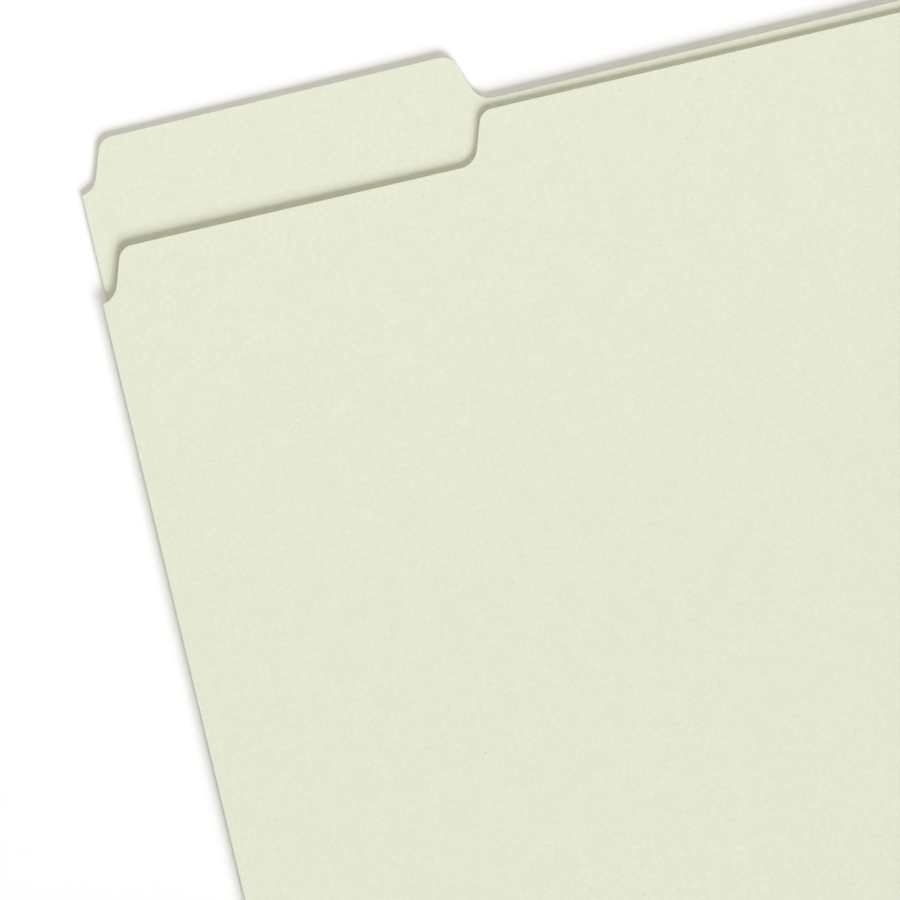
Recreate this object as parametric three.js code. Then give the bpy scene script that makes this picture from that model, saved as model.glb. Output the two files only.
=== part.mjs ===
// Top tab file folder: two pressboard covers joined along their bottom edges by a creased
// cloth gusset. The back cover carries the tab, and the front cover is cut away under it.
// On each side the gusset has a narrow hinge strip, which lets the cover swing out, and a
// wide leaf, which unfolds when the covers move apart. The leaves meet in the middle fold.
// Millimetres, +Z up. The folder lies closed on its back cover, with +Y towards the tab.
// It is laid out from the covers' bottom edges, at y = 0, and centred at the end.

import * as THREE from 'three';

// Covers
const BOARD_WIDTH = 298.45;
const BOARD_THICKNESS = 0.635;
const BACK_BODY_HEIGHT = 228.6;
const FRONT_EDGE_DROP = 2.4;
const COVER_OFFSET = 1.2;
const COVER_GAP = 0.33;

// Tab, undercut and the slopes between them
const TAB_HEIGHT = 12.7;
const TAB_SPAN = 99.0;
const UNDERCUT_SPAN = 99.8;
const END_SLOPE_INSET = 5.3;
const SLOPE_LEAN = THREE.MathUtils.degToRad(19);
const SLOPE_RADIUS = 5.0;
const ARC_DIVISIONS = 4;

// Cloth tape outside, lining tape inside
const CLOTH_THICKNESS = 0.25;
const LINING_THICKNESS = 0.15;
const CLOTH_FLANGE = 11.1;
const LINING_FLANGE = 7.9;
const HINGE_WIDTH = 1.6;
const LEAF_WIDTH = 12.7;
const CREASE_SLOT = 0.2;

// Heights of the closed folder, and the lines of its creases
const TAPE_THICKNESS = CLOTH_THICKNESS + LINING_THICKNESS;
const COVER_THICKNESS = BOARD_THICKNESS + TAPE_THICKNESS;
const CLOSED_THICKNESS = 2 * COVER_THICKNESS + COVER_GAP;
const TAPE_LENGTH = BOARD_WIDTH - COVER_OFFSET;
const CREASE_Y = -HINGE_WIDTH;
const FOLD_Y = CREASE_Y - LEAF_WIDTH;
const FRONT_HIGH_EDGE = BACK_BODY_HEIGHT - FRONT_EDGE_DROP;
const FRONT_LOW_EDGE = FRONT_HIGH_EDGE - TAB_HEIGHT;

// A slope is two equal arcs joined by a straight that leans away from upright
const ARC_TURN = Math.PI / 2 - SLOPE_LEAN;
const ARC_RISE_SHARE = 1 - Math.cos(ARC_TURN);
const ARC_RADIUS = Math.min(SLOPE_RADIUS, TAB_HEIGHT / (2 * ARC_RISE_SHARE));
const STRAIGHT_RISE = TAB_HEIGHT - 2 * ARC_RADIUS * ARC_RISE_SHARE;
const SLOPE_HALF_WIDTH = ARC_RADIUS * Math.sin(ARC_TURN) + (STRAIGHT_RISE * Math.tan(SLOPE_LEAN)) / 2;

const pressboard = new THREE.MeshStandardMaterial({ color: '#e6e9d4', roughness: 0.85, metalness: 0 });
const cloth = new THREE.MeshStandardMaterial({ color: '#6f7b69', roughness: 0.9, metalness: 0 });
const lining = new THREE.MeshStandardMaterial({ color: '#cfcdb9', roughness: 0.9, metalness: 0 });

// Outlines run anticlockwise, so their top edges run from right to left.

function riseToTheLeft(outline, middle, low) {
  const high = low + TAB_HEIGHT;
  const lowCentre = middle + SLOPE_HALF_WIDTH;
  const highCentre = middle - SLOPE_HALF_WIDTH;
  outline.absarc(lowCentre, low + ARC_RADIUS, ARC_RADIUS, -Math.PI / 2, -Math.PI / 2 - ARC_TURN, true);
  outline.absarc(highCentre, high - ARC_RADIUS, ARC_RADIUS, Math.PI / 2 - ARC_TURN, Math.PI / 2, false);
}

// The lower arc stops early where the board's left edge cuts it off
function fallToTheLeft(outline, middle, high) {
  const low = high - TAB_HEIGHT;
  const highCentre = middle + SLOPE_HALF_WIDTH;
  const lowCentre = middle - SLOPE_HALF_WIDTH;
  const cutOff = Math.asin(Math.max(0, -lowCentre) / ARC_RADIUS);
  const arcEnd = -Math.PI / 2 + cutOff;
  outline.absarc(highCentre, high - ARC_RADIUS, ARC_RADIUS, Math.PI / 2, Math.PI / 2 + ARC_TURN, false);
  outline.absarc(lowCentre, low + ARC_RADIUS, ARC_RADIUS, -Math.PI / 2 + ARC_TURN, arcEnd, true);
}

function fallAtTheLeftEnd(outline, high) {
  fallToTheLeft(outline, END_SLOPE_INSET, high);
  if (END_SLOPE_INSET > SLOPE_HALF_WIDTH) outline.lineTo(0, high - TAB_HEIGHT);
}

function backOutline() {
  const outline = new THREE.Shape();
  outline.moveTo(0, 0);
  outline.lineTo(BOARD_WIDTH, 0);
  outline.lineTo(BOARD_WIDTH, BACK_BODY_HEIGHT);
  riseToTheLeft(outline, TAB_SPAN, BACK_BODY_HEIGHT);
  fallAtTheLeftEnd(outline, BACK_BODY_HEIGHT + TAB_HEIGHT);
  return outline;
}

function frontOutline() {
  const outline = new THREE.Shape();
  outline.moveTo(0, 0);
  outline.lineTo(BOARD_WIDTH, 0);
  outline.lineTo(BOARD_WIDTH, FRONT_HIGH_EDGE);
  fallToTheLeft(outline, UNDERCUT_SPAN, FRONT_HIGH_EDGE);
  fallAtTheLeftEnd(outline, FRONT_LOW_EDGE);
  return outline;
}

// Each half is described as the back one, counting height inwards from its outer face.
// The front half has the same pieces, counted down from the closed folder's top.
const halves = [
  { name: 'back', outline: backOutline(), shift: COVER_OFFSET / 2, level: (inward) => inward },
  {
    name: 'front',
    outline: frontOutline(),
    shift: -COVER_OFFSET / 2,
    level: (inward) => CLOSED_THICKNESS - inward,
  },
];

function board(half) {
  const outerFace = half.level(CLOTH_THICKNESS);
  const innerFace = half.level(CLOTH_THICKNESS + BOARD_THICKNESS);
  const geometry = new THREE.ExtrudeGeometry(half.outline, {
    depth: BOARD_THICKNESS,
    curveSegments: ARC_DIVISIONS,
    bevelEnabled: false,
  });
  const mesh = new THREE.Mesh(geometry, pressboard);
  mesh.name = `${half.name}_board`;
  mesh.position.set(half.shift - BOARD_WIDTH / 2, 0, Math.min(outerFace, innerFace));
  return mesh;
}

// A strip of tape across the folder, between two lines along it and two depths in the half
function tapeStrip(half, part, material, [nearY, farY], [outer, inner]) {
  const width = Math.abs(farY - nearY);
  const geometry = new THREE.BoxGeometry(TAPE_LENGTH, width, inner - outer);
  const mesh = new THREE.Mesh(geometry, material);
  mesh.name = `${half.name}_${part}`;
  mesh.position.set(0, (nearY + farY) / 2, half.level((outer + inner) / 2));
  return mesh;
}

// The flanges are glued to the two faces of the board
function flanges(half) {
  const boardInnerFace = CLOTH_THICKNESS + BOARD_THICKNESS;
  return [
    tapeStrip(half, 'cloth_flange', cloth, [0, CLOTH_FLANGE], [0, CLOTH_THICKNESS]),
    tapeStrip(half, 'lining_flange', lining, [0, LINING_FLANGE], [boardInnerFace, COVER_THICKNESS]),
  ];
}

// Past the board, cloth and lining lie on each other, and stop just short of each crease
function tapeLayers(half, part, [nearCrease, farCrease]) {
  const stretch = [nearCrease - CREASE_SLOT / 2, farCrease + CREASE_SLOT / 2];
  return [
    tapeStrip(half, `${part}_cloth`, cloth, stretch, [0, CLOTH_THICKNESS]),
    tapeStrip(half, `${part}_lining`, lining, stretch, [CLOTH_THICKNESS, TAPE_THICKNESS]),
  ];
}

const folder = new THREE.Group();
for (const half of halves) {
  folder.add(board(half), ...flanges(half));
  folder.add(...tapeLayers(half, 'hinge', [0, CREASE_Y]));
  folder.add(...tapeLayers(half, 'leaf', [CREASE_Y, FOLD_Y]));
}

// The origin is the middle of the closed folder's footprint, on the surface it lies on
const topY = BACK_BODY_HEIGHT + TAB_HEIGHT;
const bottomY = FOLD_Y + CREASE_SLOT / 2;
folder.position.y = -(topY + bottomY) / 2;

export default folder;
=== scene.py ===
"""The closed top tab file folder as it looks: two pressboard covers with die-cut tops, a woven
cloth tape outside and a pale lining tape inside that form the creased gusset between them,
on a white table in soft studio light. Metres, +Z up, +Y towards the tab."""

import math

import bmesh
import bpy
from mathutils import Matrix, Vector


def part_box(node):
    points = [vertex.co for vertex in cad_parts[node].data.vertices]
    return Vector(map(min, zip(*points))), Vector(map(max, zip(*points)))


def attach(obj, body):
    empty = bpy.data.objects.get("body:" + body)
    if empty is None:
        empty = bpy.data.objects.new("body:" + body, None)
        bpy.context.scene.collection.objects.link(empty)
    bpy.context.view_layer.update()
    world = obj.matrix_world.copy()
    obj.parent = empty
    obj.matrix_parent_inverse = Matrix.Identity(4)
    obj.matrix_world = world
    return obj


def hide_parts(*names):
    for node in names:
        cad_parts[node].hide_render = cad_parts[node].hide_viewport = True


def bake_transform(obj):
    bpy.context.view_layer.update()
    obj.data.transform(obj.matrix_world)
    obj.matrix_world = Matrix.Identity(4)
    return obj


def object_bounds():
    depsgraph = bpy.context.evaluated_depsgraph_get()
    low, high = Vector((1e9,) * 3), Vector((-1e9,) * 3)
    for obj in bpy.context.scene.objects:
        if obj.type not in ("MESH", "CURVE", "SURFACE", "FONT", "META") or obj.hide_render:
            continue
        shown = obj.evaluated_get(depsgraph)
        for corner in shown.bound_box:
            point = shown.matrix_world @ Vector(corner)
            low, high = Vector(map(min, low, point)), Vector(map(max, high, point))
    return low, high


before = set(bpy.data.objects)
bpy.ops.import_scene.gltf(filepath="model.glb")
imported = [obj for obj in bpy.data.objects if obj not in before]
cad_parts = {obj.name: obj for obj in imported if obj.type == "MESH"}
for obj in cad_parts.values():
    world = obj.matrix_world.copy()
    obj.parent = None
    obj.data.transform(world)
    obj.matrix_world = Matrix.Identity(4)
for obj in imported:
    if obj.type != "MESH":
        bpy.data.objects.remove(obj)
cad_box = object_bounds()

MM = 0.001

# Outlines of the covers. A blank is cut too wide at the left, and trimmed once its corners are round.
TAB_HEIGHT = 12.7 * MM
TAB_SPAN = 99.0 * MM
UNDERCUT_SPAN = 99.8 * MM
END_SLOPE_INSET = 5.3 * MM
SLOPE_LEAN = math.radians(19)
OUTER_CORNER_RADIUS = 3.8 * MM
INNER_CORNER_RADIUS = 5.0 * MM
EDGE_ROUNDING = 0.09 * MM
DIE_OVERCUT = 8.0 * MM

# How the boards lie, from their left end over the middle to their right end. They rise off the
# table past the gusset, and the front one settles towards the back one.
RISE = (0.27 * MM, 0.56 * MM, 0.0)
SETTLING = (-0.12 * MM, 0.28 * MM, 0.28 * MM)
RISE_RUN = 75 * MM
MIDDLE_END = 60 * MM
RIPPLE = 0.03 * MM
RIPPLE_LENGTH = 190 * MM
RIPPLE_START = 0.3

# The front cover's top edges aren't quite square to its left edge
SKEW = 0.55 * MM
SKEW_MIDDLE = -75 * MM
SKEW_REACH = 130 * MM

# Cloth tape and lining tape. A crease bends the tape over its reach on either side.
LEAF_WIDTH = 12.7 * MM
CREASE_REACH = 0.25 * MM
LINING_EDGE_RADIUS = 0.05 * MM
LINING_ROOT_RADIUS = 0.17 * MM

# How finely the pieces are cut, and how round a stretch is
BOARD_PITCH = 5.0 * MM
TAPE_PITCH = 12.0 * MM
CORNER_STEPS = 10
EDGE_STEPS = 2
GLUED_STEPS = 2
SOFT_FOLD_STEPS = 8
NOSE_STEPS = 7
LINING_EDGE_STEPS = 4
LINING_ROOT_STEPS = 5

# Points this close are one point, and points this close to a cut lie on it
SAME_POINT = 0.0005 * MM
ON_THE_CUT = 1e-8

# An edge is sharp past this angle. A face is upright, or no longer flat, where its normal's Z is less.
SHARP_EDGE = math.radians(18)
UPRIGHT_BELOW = 0.5
FLAT_ABOVE = 0.9

# The photograph's view
PICTURE_SIDE = 900
PIXELS_PER_METRE = 4040
PICTURE_TURN = math.radians(13.45)
VIEW_CENTRE = Vector((-0.07467, 0.03265, 0.0))
CAMERA_HEIGHT = 1.2
SENSOR_WIDTH = 36.0
NEAREST_SEEN = 0.01
FARTHEST_SEEN = 50.0

# Table and light. A light's level is how bright it alone makes a white table.
TABLE_SIZE = 14.0
TABLE_GAP = 0.02 * MM
TABLE_STEP = 3.2 * MM
TABLE_STEP_INSET = 2.4 * MM
WARM_LIGHT = (1.0, 0.96, 0.86)
COOL_LIGHT = (0.905, 0.933, 1.0)
SOFTBOX_PLACE = Vector((3.2, -10.4, 5.7))
SOFTBOX_SIZE = (8.6, 5.7)
SOFTBOX_LEVEL = 0.698
CEILING_PLACE = Vector((-0.2, 0.16, 2.24))
CEILING_SIZE = (1.5, 2.2)
CEILING_LEVEL = 0.34
WINDOW_PLACE = Vector((0.0, 0.85, 0.8))
WINDOW_SIZE = (0.5, 0.5)
WINDOW_LEVEL = 0.17
ROOM_LEVEL = 0.05

# Colours of the finishes, linear
GREENER_PULP = (0.743, 0.771, 0.624)
YELLOWER_PULP = (0.753, 0.767, 0.624)
CUT_EDGE_PULP = (0.757, 0.779, 0.632)
CLOTH_COLOUR = (0.159, 0.198, 0.141)
LINING_COLOUR = (0.624, 0.610, 0.485)
TABLE_COLOUR = (0.965, 0.965, 0.965)

# A noise's mean, and the span that holds most of it
NOISE_MEAN = 0.5
NOISE_SPAN = (0.3, 0.7)

# How much each feature of the pressboard darkens it, and how far it stands out. What is darker has
# lost more of its blue.
CLOUD_DEPTH = 0.045
PULP_DEPTH = 0.185
FIBRE_DEPTH = 0.01
DUST_DEPTH = 0.1
BITS_DEPTH = 0.22
BLUE_LOSS = 1.3
PULP_RELIEF = 0.5
FIBRE_RELIEF = 0.3
GRAIN_RELIEF = 0.5
FIBRE_WIDTH = 0.018
SPECK_CORE = 0.4
PRESSBOARD_ROUGHNESS = (0.78, 0.9)

# The cut edge's layers of pulp, in waves per metre
LAYER_WAVES = (300, 300, 14000)
LAYER_SHARE = 0.6

# The woven tapes: the pitch of their threads, uneven threads in waves per metre, and what each
# feature adds to the shade
CLOTH_PITCH = 0.42 * MM
LINING_PITCH = 0.28 * MM
SLUB_WAVES = (1 / (6 * MM), 1 / (0.5 * MM), 1.0)
SLUB_SHARE = 0.25
FUZZ_SHARE = 0.12
CROSSING_SHARE = 0.06
WORN_SHARE = 0.12
FUZZ_RELIEF = 0.3
TAPE_ROUGHNESS = (0.82, 0.94)

# Sizes and places from the frame
back_low, back_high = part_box("back_board")
front_low, front_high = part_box("front_board")
flange_low, flange_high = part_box("back_cloth_flange")
lining_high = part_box("back_lining_flange")[1]
BOARD_THICKNESS = back_high.z - back_low.z
CLOTH_THICKNESS = back_low.z
LINING_THICKNESS = lining_high.z - back_high.z
TAPE_THICKNESS = CLOTH_THICKNESS + LINING_THICKNESS
TAPE_LENGTH = flange_high.x - flange_low.x
CLOSED_THICKNESS = cad_box[1].z
BOARD_FOOT = back_low.y
CLOTH_EDGE = flange_high.y
LINING_EDGE = lining_high.y
CREASE_Y = (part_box("back_hinge_cloth")[0].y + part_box("back_leaf_cloth")[1].y) / 2
SEAM_Y = (BOARD_FOOT + CREASE_Y) / 2
LEAF_TILT = math.asin((CLOSED_THICKNESS / 2 - TAPE_THICKNESS) / LEAF_WIDTH)


class Signal:
    """An output of a shader node. Arithmetic on it adds Math nodes."""

    def __init__(self, finish, socket):
        self.finish = finish
        self.socket = socket

    def math(self, operation, *values):
        return self.finish.node("Math", {"operation": operation}, dict(enumerate(values)))

    def __add__(self, other):
        return self.math("ADD", self, other)

    def __radd__(self, other):
        return self.math("ADD", other, self)

    def __sub__(self, other):
        return self.math("SUBTRACT", self, other)

    def __rsub__(self, other):
        return self.math("SUBTRACT", other, self)

    def __mul__(self, other):
        return self.math("MULTIPLY", self, other)

    def __rmul__(self, other):
        return self.math("MULTIPLY", other, self)

    def __abs__(self):
        return self.math("ABSOLUTE", self)

    def __pow__(self, other):
        return self.math("POWER", self, other)

    def __lt__(self, other):
        return self.math("LESS_THAN", self, other)

    def __mod__(self, other):
        return self.math("FLOORED_MODULO", self, other)


class Finish:
    """A material under its own name, built node by node."""

    def __init__(self, name):
        self.material = bpy.data.materials.new(name)
        self.material.use_nodes = True
        self.nodes = self.material.node_tree.nodes
        self.links = self.material.node_tree.links
        self.nodes.clear()

    def node(self, kind, settings, sockets, output=0):
        made = self.nodes.new("ShaderNode" + kind)
        for name, value in settings.items():
            setattr(made, name, value)
        for key, value in sockets.items():
            if isinstance(value, Signal):
                self.links.new(value.socket, made.inputs[key])
            else:
                made.inputs[key].default_value = value
        return Signal(self, made.outputs[output]) if made.outputs else None

    def object_place(self):
        return self.node("TexCoord", {}, {}, "Object")

    def cut_place(self):
        return self.node("UVMap", {"uv_map": "cut"}, {})

    def noise(self, place, size=1.0, detail=2.0, roughness=0.5, distortion=0.0):
        return self.node("TexNoise", {}, {
            "Vector": place, "Scale": 1 / size, "Detail": detail,
            "Roughness": roughness, "Distortion": distortion,
        })

    def stretched(self, place, waves):
        return self.node("Mapping", {}, {"Vector": place, "Scale": waves})

    def between(self, value, low, high, to_low=0.0, to_high=1.0):
        return self.node("MapRange", {"interpolation_type": "SMOOTHSTEP"}, {
            "Value": value, "From Min": low, "From Max": high, "To Min": to_low, "To Max": to_high,
        })

    def mix(self, share, first, second, blend="MIX"):
        settings = {"data_type": "RGBA", "blend_type": blend}
        return self.node("Mix", settings, {0: share, 6: first, 7: second}, 2)

    def bump(self, height, strength, distance):
        return self.node("Bump", {}, {"Height": height, "Strength": strength, "Distance": distance})

    def surface(self, sockets):
        shader = self.node("BsdfPrincipled", {}, sockets)
        self.node("OutputMaterial", {}, {"Surface": shader})
        return self.material


def colour(linear, brightness=1.0):
    return tuple(channel * brightness for channel in linear) + (1.0,)


def specks(finish, place, cell, radius, share):
    """Small round specks of different depths, one in some of the cells of a random flat grid"""
    settings = {"voronoi_dimensions": "2D", "feature": "F1"}
    sockets = {"Vector": place, "Scale": 1 / cell, "Randomness": 1.0}
    distance = finish.node("TexVoronoi", settings, sockets, "Distance")
    owner = finish.node("TexVoronoi", settings, sockets, "Color")
    chosen = finish.node("SeparateColor", {}, {"Color": owner}, "Red") < share
    depth = finish.node("SeparateColor", {}, {"Color": owner}, "Green")
    return finish.between(distance, radius / cell, SPECK_CORE * radius / cell) * chosen * depth


def pressboard_finish():
    """Smooth calendered board of pale grey-green pulp, faintly clouded, with short fibres and dust"""
    finish = Finish("pressboard")
    place = finish.object_place()
    cloud = finish.noise(place, size=5 * MM, detail=1.0, roughness=1.0)
    pulp = finish.noise(place, size=1.2 * MM, roughness=1.0)
    grain = finish.noise(place, size=0.4 * MM, detail=1.0)
    curl = finish.noise(place, size=2.6 * MM, distortion=1.5)
    fibre = finish.between(abs(curl - NOISE_MEAN), FIBRE_WIDTH, 0.0)
    dust = specks(finish, place, cell=4 * MM, radius=0.26 * MM, share=0.8)
    bits = specks(finish, place, cell=14 * MM, radius=0.3 * MM, share=0.25)
    mottling = 1 + (cloud - NOISE_MEAN) * CLOUD_DEPTH + (pulp - NOISE_MEAN) * PULP_DEPTH
    shade = mottling - fibre * FIBRE_DEPTH - dust * DUST_DEPTH - bits * BITS_DEPTH
    warmth = finish.noise(place, size=6 * MM, detail=1.0)
    base = finish.mix(warmth, colour(GREENER_PULP), colour(YELLOWER_PULP))
    blue_shade = 1 + (shade - 1) * BLUE_LOSS
    tone = finish.node("CombineColor", {}, {"Red": shade, "Green": shade, "Blue": blue_shade})
    relief = pulp * PULP_RELIEF + fibre * FIBRE_RELIEF + grain * GRAIN_RELIEF
    return finish.surface({
        "Base Color": finish.mix(1.0, base, tone, "MULTIPLY"),
        "Roughness": finish.between(pulp, *NOISE_SPAN, *PRESSBOARD_ROUGHNESS),
        "Normal": finish.bump(relief, strength=0.22, distance=0.05 * MM),
        "Specular IOR Level": 0.3,
    })


def cut_edge_finish():
    """Where the die cut the board, its layers of pulp show as fine lines along the edge"""
    finish = Finish("pressboard_cut_edge")
    place = finish.object_place()
    layers = finish.noise(finish.stretched(place, LAYER_WAVES))
    tufts = finish.noise(place, size=0.4 * MM, detail=3.0, roughness=0.7)
    streaks = layers * LAYER_SHARE + tufts * (1 - LAYER_SHARE)
    darker = colour(CUT_EDGE_PULP, brightness=0.93)
    lighter = colour(CUT_EDGE_PULP, brightness=1.06)
    return finish.surface({
        "Base Color": finish.mix(streaks, darker, lighter),
        "Roughness": 0.95,
        "Normal": finish.bump(layers + tufts, strength=0.5, distance=0.05 * MM),
        "Specular IOR Level": 0.2,
    })


def thread_top(place):
    """Height across threads that lie side by side, 1 apart: round, and 0 between them"""
    return (1 - abs(place % 1.0 - 0.5) * 2) ** 0.5


def weave(finish, pitch):
    """Height of a plain weave of round threads, and which of the two threads is on top"""
    parts = finish.cut_place()
    across = finish.node("SeparateXYZ", {}, {"Vector": parts}, "X") * (1 / pitch)
    along = finish.node("SeparateXYZ", {}, {"Vector": parts}, "Y") * (1 / pitch)
    crossing = finish.node("TexChecker", {}, {"Vector": parts, "Scale": 1 / pitch}, "Fac")
    height = thread_top(across) * crossing + thread_top(along) * (1 - crossing)
    return height, crossing


def woven_finish(name, tone, pitch, painted_weave_shade, relief):
    finish = Finish(name)
    place = finish.cut_place()
    height, crossing = weave(finish, pitch)
    slub = finish.noise(finish.stretched(place, SLUB_WAVES))
    worn = finish.noise(place, size=11 * MM, detail=3.0, roughness=0.6)
    fuzz = finish.noise(place, size=0.12 * MM)
    # The threads' height, times this depth, paints shade into the gaps between threads and light onto
    # their round tops. The slubs are the threads' own unevenness.
    threads = height * painted_weave_shade + slub * SLUB_SHARE
    shade = threads + fuzz * FUZZ_SHARE + crossing * CROSSING_SHARE + worn * WORN_SHARE
    darker = colour(tone, brightness=0.55)
    lighter = colour(tone, brightness=1.45)
    return finish.surface({
        "Base Color": finish.mix(shade, darker, lighter),
        "Roughness": finish.between(worn, *NOISE_SPAN, *TAPE_ROUGHNESS),
        "Normal": finish.bump(height + fuzz * FUZZ_RELIEF, relief, distance=0.1 * MM),
        "Specular IOR Level": 0.25,
    })


def table_finish():
    return Finish("white_table").surface({
        "Base Color": colour(TABLE_COLOUR),
        "Roughness": 0.9,
        "Specular IOR Level": 0.0,
    })


def in_scene(name, data):
    placed = bpy.data.objects.new(name, data)
    bpy.context.scene.collection.objects.link(placed)
    return placed


def mesh_in_scene(bm, name, finishes):
    mesh = bpy.data.meshes.new(name)
    bm.to_mesh(mesh)
    bm.free()
    for finish in finishes:
        mesh.materials.append(finish)
    return in_scene(name, mesh)


def piece_from(bm, name, finishes):
    """A finished piece, with its faces pointing out and its sharp edges kept sharp"""
    bmesh.ops.remove_doubles(bm, verts=bm.verts[:], dist=SAME_POINT)
    bmesh.ops.recalc_face_normals(bm, faces=bm.faces[:])
    for face in bm.faces:
        face.smooth = True
    for edge in bm.edges:
        edge.smooth = edge.calc_face_angle(math.pi) < SHARP_EDGE
    return mesh_in_scene(bm, name, finishes)


def cut_through(bm, point, normal, clear_outer=False):
    everything = bm.verts[:] + bm.edges[:] + bm.faces[:]
    bmesh.ops.bisect_plane(
        bm, geom=everything, dist=ON_THE_CUT, plane_co=point, plane_no=normal, clear_outer=clear_outer,
    )


def slice_across(bm, axis, places):
    """Cuts the mesh at each place along an axis, so that it can bend there"""
    normal = Vector([float(index == axis) for index in range(3)])
    for place in places:
        cut_through(bm, normal * place, normal)


def evenly(start, end, pitch):
    """The places of the inner cuts that divide a length into equal parts of about that pitch"""
    parts = max(1, round(abs(end - start) / pitch))
    return [start + (end - start) * part / parts for part in range(1, parts)]


def verts_of(extrusion):
    return [item for item in extrusion["geom"] if isinstance(item, bmesh.types.BMVert)]


def blank_outline(bm, low, high, levels, slopes):
    """The blank of one cover. Its top edge steps between the levels at the slopes, right to left.
    Gives the outer and the inner corners of the slopes."""
    half = TAB_HEIGHT * math.tan(SLOPE_LEAN) / 2
    left = low.x - DIE_OVERCUT
    foot_and_right = [(left, low.y), (high.x, low.y), (high.x, levels[0])]
    steps = []
    for middle, right_level, left_level in zip(slopes, levels, levels[1:]):
        steps.append((low.x + middle + half, right_level))
        steps.append((low.x + middle - half, left_level))
    corners = foot_and_right + steps + [(left, levels[-1])]
    verts = [bm.verts.new((x, y, low.z)) for x, y in corners]
    bm.faces.new(verts)
    step_verts = verts[len(foot_and_right):-1]
    pairs = zip(step_verts[::2], step_verts[1::2])
    ends = [sorted(pair, key=lambda vert: vert.co.y) for pair in pairs]
    return [upper for lower, upper in ends], [lower for lower, upper in ends]


def round_corners(bm, corners, radius):
    turn = math.pi / 2 - SLOPE_LEAN
    bmesh.ops.bevel(
        bm, geom=corners, offset=radius * math.tan(turn / 2), offset_type="OFFSET",
        segments=CORNER_STEPS, profile=0.5, affect="VERTICES", material=-1,
    )


def thicken(bm, thickness):
    made = bmesh.ops.extrude_face_region(bm, geom=bm.faces[:], use_keep_orig=True)
    bmesh.ops.translate(bm, verts=verts_of(made), vec=(0, 0, thickness))
    bmesh.ops.recalc_face_normals(bm, faces=bm.faces[:])


def soften_cut_edges(bm):
    """Rounds the rims a little, and gives the cut faces their own finish"""
    def upright(face):
        return abs(face.normal.z) < UPRIGHT_BELOW
    rims = [edge for edge in bm.edges if sum(upright(face) for face in edge.link_faces) == 1]
    bmesh.ops.bevel(
        bm, geom=rims, offset=EDGE_ROUNDING, offset_type="OFFSET", segments=EDGE_STEPS,
        profile=0.5, affect="EDGES", material=-1,
    )
    bm.normal_update()
    for face in bm.faces:
        face.material_index = int(abs(face.normal.z) < FLAT_ABOVE)


def eased(value):
    """From 0 to 1 with a soft start and a soft end"""
    share = min(1.0, max(0.0, value))
    return share * share * (3 - 2 * share)


def along_cover(x, heights):
    """A height that changes softly from the left end to the middle, and on to the right end"""
    left, middle, right = heights
    if x < MIDDLE_END:
        return left + (middle - left) * eased(1 - x / back_low.x)
    return middle + (right - middle) * eased((x - MIDDLE_END) / (back_high.x - MIDDLE_END))


def lay_down(bm, half):
    """The board is flat where the gusset holds it, and lies a little off the table past that"""
    for vert in bm.verts:
        free = eased((vert.co.y - CLOTH_EDGE) / RISE_RUN)
        wave = math.sin(2 * math.pi * (vert.co.x / RIPPLE_LENGTH + RIPPLE_START))
        rise = along_cover(vert.co.x, RISE) + RIPPLE * wave
        if half == "front":
            rise -= along_cover(vert.co.x, SETTLING)
            across = (vert.co.x - SKEW_MIDDLE) / SKEW_REACH
            vert.co.y -= free * SKEW * math.sin(math.pi / 2 * max(-1.0, min(1.0, across)))
        vert.co.z += free * rise


def cover(half, low, high, levels, slopes, finishes):
    bm = bmesh.new()
    outer, inner = blank_outline(bm, low, high, levels, slopes)
    round_corners(bm, outer, OUTER_CORNER_RADIUS)
    round_corners(bm, inner, INNER_CORNER_RADIUS)
    cut_through(bm, (low.x, 0, 0), (-1, 0, 0), clear_outer=True)
    slice_across(bm, 0, evenly(low.x, high.x, BOARD_PITCH))
    slice_across(bm, 1, evenly(low.y, high.y, BOARD_PITCH))
    thicken(bm, high.z - low.z)
    soften_cut_edges(bm)
    lay_down(bm, half)
    return piece_from(bm, f"{half}_cover", finishes)


def straight(length, steps=1):
    return length, 0.0, steps


def bend(radius, turn, steps=1):
    """A round stretch. The radius is that of the tape's outer face, and inwards turns are positive."""
    return radius * abs(turn), turn, steps


def cut_width(runs):
    return sum(length for length, turn, steps in runs)


def flat_tape(thickness, runs):
    """The tape as cut: its width runs along Y and its thickness along Z, with a cut at every step"""
    bm = bmesh.new()
    bmesh.ops.create_cube(bm, size=1.0)
    bmesh.ops.translate(bm, verts=bm.verts[:], vec=(0, 0.5, 0.5))
    bmesh.ops.scale(bm, verts=bm.verts[:], vec=(TAPE_LENGTH, cut_width(runs), thickness))
    slice_across(bm, 0, evenly(-TAPE_LENGTH / 2, TAPE_LENGTH / 2, TAPE_PITCH))
    reached = 0.0
    for length, turn, steps in runs:
        places = [reached + length * step / steps for step in range(steps)]
        slice_across(bm, 1, [place for place in places if place > 0])
        reached += length
    return bm


def mark_cut(bm):
    """Keeps each point's place on the flat tape as its UV, so that the weave follows the folds"""
    layer = bm.loops.layers.uv.new("cut")
    for face in bm.faces:
        for loop in face.loops:
            loop[layer].uv = loop.vert.co.x, loop.vert.co.y


def folded_place(start, runs, distance, height):
    """Where a point of the flat tape goes in the section (y, z) of the back half"""
    y, z = start
    heading = 0.0
    for index, (length, turn, steps) in enumerate(runs):
        last = index == len(runs) - 1
        step = distance if last else min(distance, length)
        if turn:
            radius = length / turn
            centre_y = y + radius * math.sin(heading)
            centre_z = z + radius * math.cos(heading)
            heading += turn * step / length
            y = centre_y - radius * math.sin(heading)
            z = centre_z - radius * math.cos(heading)
        else:
            y -= step * math.cos(heading)
            z += step * math.sin(heading)
        distance -= step
        if distance <= 0:
            break
    return y + height * math.sin(heading), z + height * math.cos(heading)


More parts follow.
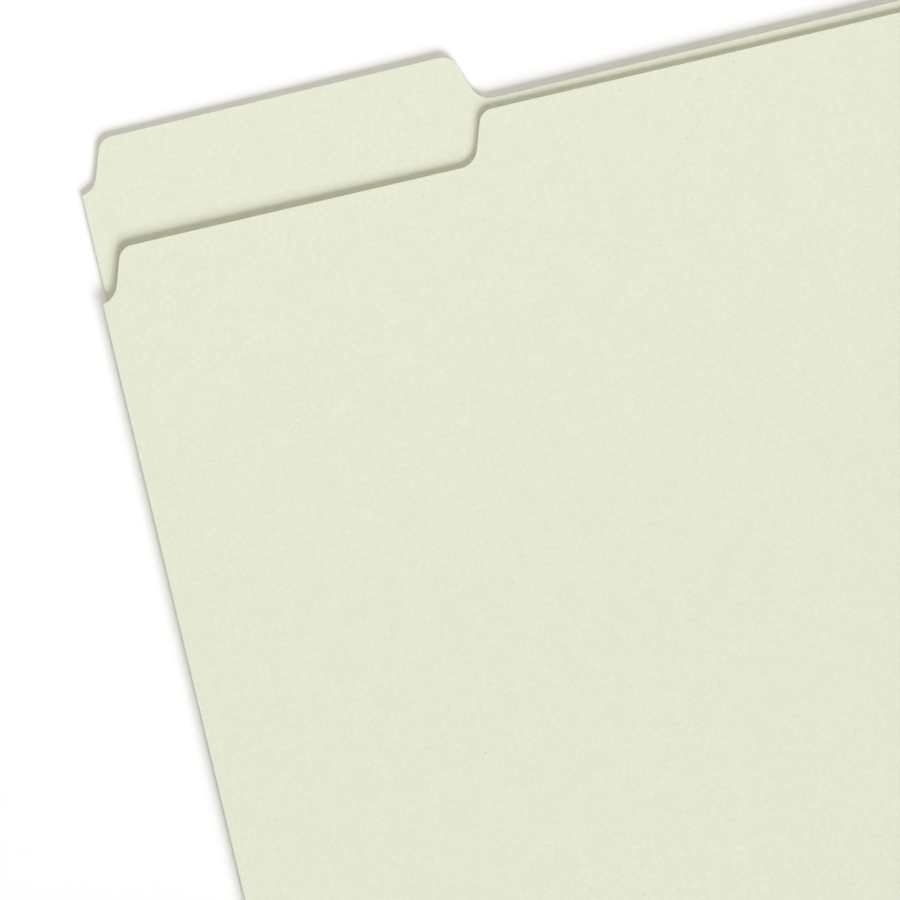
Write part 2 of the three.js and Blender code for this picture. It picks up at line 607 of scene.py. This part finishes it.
def tape(name, half, thickness, start, runs, finish):
    """A stretch of tape folded into its place in one half of the gusset"""
    bm = flat_tape(thickness, runs)
    mark_cut(bm)
    for vert in bm.verts:
        y, z = folded_place(start, runs, vert.co.y, vert.co.z)
        vert.co = vert.co.x, y, z if half == "back" else CLOSED_THICKNESS - z
    return piece_from(bm, name, [finish])


def hold_cover(piece, half):
    """Bakes the tape's place into its mesh, the same way for either half"""
    if half == "back":
        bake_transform(piece)
    else:
        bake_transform(piece)


def hold_leaf(piece):
    """Bakes the tape's place into its mesh"""
    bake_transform(piece)


def cloth_flange(half, finish):
    glued = straight(CLOTH_EDGE - BOARD_FOOT + LINING_THICKNESS, GLUED_STEPS)
    free = straight(BOARD_FOOT - LINING_THICKNESS - SEAM_Y, SOFT_FOLD_STEPS)
    piece = tape(f"{half}_flange_tape", half, CLOTH_THICKNESS, (CLOTH_EDGE, 0.0), [glued, free], finish)
    hold_cover(piece, half)
    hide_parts(f"{half}_cloth_flange", f"{half}_hinge_cloth")


def leaf_runs(radius):
    """From the seam in the hinge strip over the crease and along the leaf, and round the middle fold"""
    return [
        straight(SEAM_Y - CREASE_Y - CREASE_REACH),
        straight(CREASE_REACH, SOFT_FOLD_STEPS),
        bend(radius, LEAF_TILT),
        straight(CREASE_REACH, SOFT_FOLD_STEPS),
        straight(LEAF_WIDTH - CREASE_REACH),
        bend(radius, math.pi / 2 - LEAF_TILT, NOSE_STEPS),
    ]


def cloth_leaf(half, finish):
    runs = leaf_runs(TAPE_THICKNESS)
    piece = tape(f"{half}_leaf_tape", half, CLOTH_THICKNESS, (SEAM_Y, 0.0), runs, finish)
    hold_leaf(piece)
    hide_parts(f"{half}_leaf_cloth")


def lining_flange(half, finish):
    """The lining is glued along the board's inner face, and turns down over its foot onto the cloth"""
    runs = [
        straight(LINING_EDGE - BOARD_FOOT - LINING_EDGE_RADIUS),
        bend(LINING_EDGE_RADIUS, -math.pi / 2, LINING_EDGE_STEPS),
        straight(BOARD_THICKNESS - LINING_EDGE_RADIUS - LINING_ROOT_RADIUS),
        bend(LINING_ROOT_RADIUS, math.pi / 2, LINING_ROOT_STEPS),
        straight(BOARD_FOOT - LINING_ROOT_RADIUS - SEAM_Y, SOFT_FOLD_STEPS),
    ]
    start = (LINING_EDGE, CLOTH_THICKNESS + BOARD_THICKNESS)
    piece = tape(f"{half}_flange_liner", half, LINING_THICKNESS, start, runs, finish)
    hold_cover(piece, half)
    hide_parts(f"{half}_lining_flange", f"{half}_hinge_lining")
    return piece


def lining_leaf(half, finish):
    runs = leaf_runs(LINING_THICKNESS)
    piece = tape(f"{half}_leaf_liner", half, LINING_THICKNESS, (SEAM_Y, CLOTH_THICKNESS), runs, finish)
    hold_leaf(piece)
    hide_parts(f"{half}_leaf_lining")


def covers():
    """The back cover's top edge rises to the tab and falls again, and the front's steps down twice"""
    finishes = [pressboard_finish(), cut_edge_finish()]
    body = back_high.y - TAB_HEIGHT
    levels = [body, back_high.y, body]
    back = cover("back", back_low, back_high, levels, [TAB_SPAN, END_SLOPE_INSET], finishes)
    levels = [front_high.y - TAB_HEIGHT * step for step in range(3)]
    front = cover("front", front_low, front_high, levels, [UNDERCUT_SPAN, END_SLOPE_INSET], finishes)
    for piece, half in ((back, "back"), (front, "front")):
        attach(piece, half)
        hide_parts(f"{half}_board")


def gusset():
    # Each tape's depth after its pitch is how strongly the weave's height paints shade into the gaps
    # between threads and light onto their tops.
    cloth = woven_finish("gusset_cloth", CLOTH_COLOUR, CLOTH_PITCH, painted_weave_shade=0.45, relief=0.6)
    lining = woven_finish("lining_tape", LINING_COLOUR, LINING_PITCH, painted_weave_shade=0.2, relief=0.35)
    for half in ("back", "front"):
        cloth_flange(half, cloth)
        cloth_leaf(half, cloth)
        flange = lining_flange(half, lining)
        lining_leaf(half, lining)


def table():
    """The table steps down just inside the boards' feet. When the back cover swings open flat, the
    rest of the folder lies a little lower than that cover, and the table doesn't hide it there."""
    bm = bmesh.new()
    side = TABLE_SIZE / 2
    edge = BOARD_FOOT + TABLE_STEP_INSET
    low = -TABLE_GAP - TABLE_STEP
    section = [(side, -TABLE_GAP), (edge, -TABLE_GAP), (edge, low), (-side, low)]
    corners = [bm.verts.new((-side, y, z)) for y, z in section]
    edges = [bm.edges.new(pair) for pair in zip(corners, corners[1:])]
    made = bmesh.ops.extrude_edge_only(bm, edges=edges)
    bmesh.ops.translate(bm, verts=verts_of(made), vec=(TABLE_SIZE, 0, 0))
    mesh_in_scene(bm, "table", [table_finish()])


def camera():
    lens = bpy.data.cameras.new("camera")
    lens.sensor_width = SENSOR_WIDTH
    lens.lens = SENSOR_WIDTH * CAMERA_HEIGHT * PIXELS_PER_METRE / PICTURE_SIDE
    lens.clip_start = NEAREST_SEEN
    lens.clip_end = FARTHEST_SEEN
    holder = in_scene("camera", lens)
    holder.location = VIEW_CENTRE + Vector((0, 0, CAMERA_HEIGHT + CLOSED_THICKNESS / 2))
    holder.rotation_euler = (0, 0, -PICTURE_TURN)
    bpy.context.scene.camera = holder


def area_light(name, place, size, level, tint):
    """A soft light that faces the view's centre. Its power follows from its distance, slant and level."""
    light = bpy.data.lights.new(name, "AREA")
    light.shape = "RECTANGLE"
    light.size, light.size_y = size
    light.energy = level * math.pi ** 2 * place.length_squared * place.length / place.z
    light.color = tint
    holder = in_scene(name, light)
    holder.location = VIEW_CENTRE + place
    holder.rotation_euler = place.to_track_quat("Z", "Y").to_euler()
    holder.visible_camera = False


def lights():
    area_light("softbox", SOFTBOX_PLACE, SOFTBOX_SIZE, SOFTBOX_LEVEL, COOL_LIGHT)
    area_light("ceiling", CEILING_PLACE, CEILING_SIZE, CEILING_LEVEL, WARM_LIGHT)
    area_light("window", WINDOW_PLACE, WINDOW_SIZE, WINDOW_LEVEL, WARM_LIGHT)
    world = bpy.data.worlds.new("room")
    world.use_nodes = True
    background = world.node_tree.nodes["Background"]
    background.inputs["Color"].default_value = colour(WARM_LIGHT)
    background.inputs["Strength"].default_value = ROOM_LEVEL
    bpy.context.scene.world = world
    bpy.context.scene.view_settings.view_transform = "Standard"


camera()
table()
lights()
covers()
gusset()
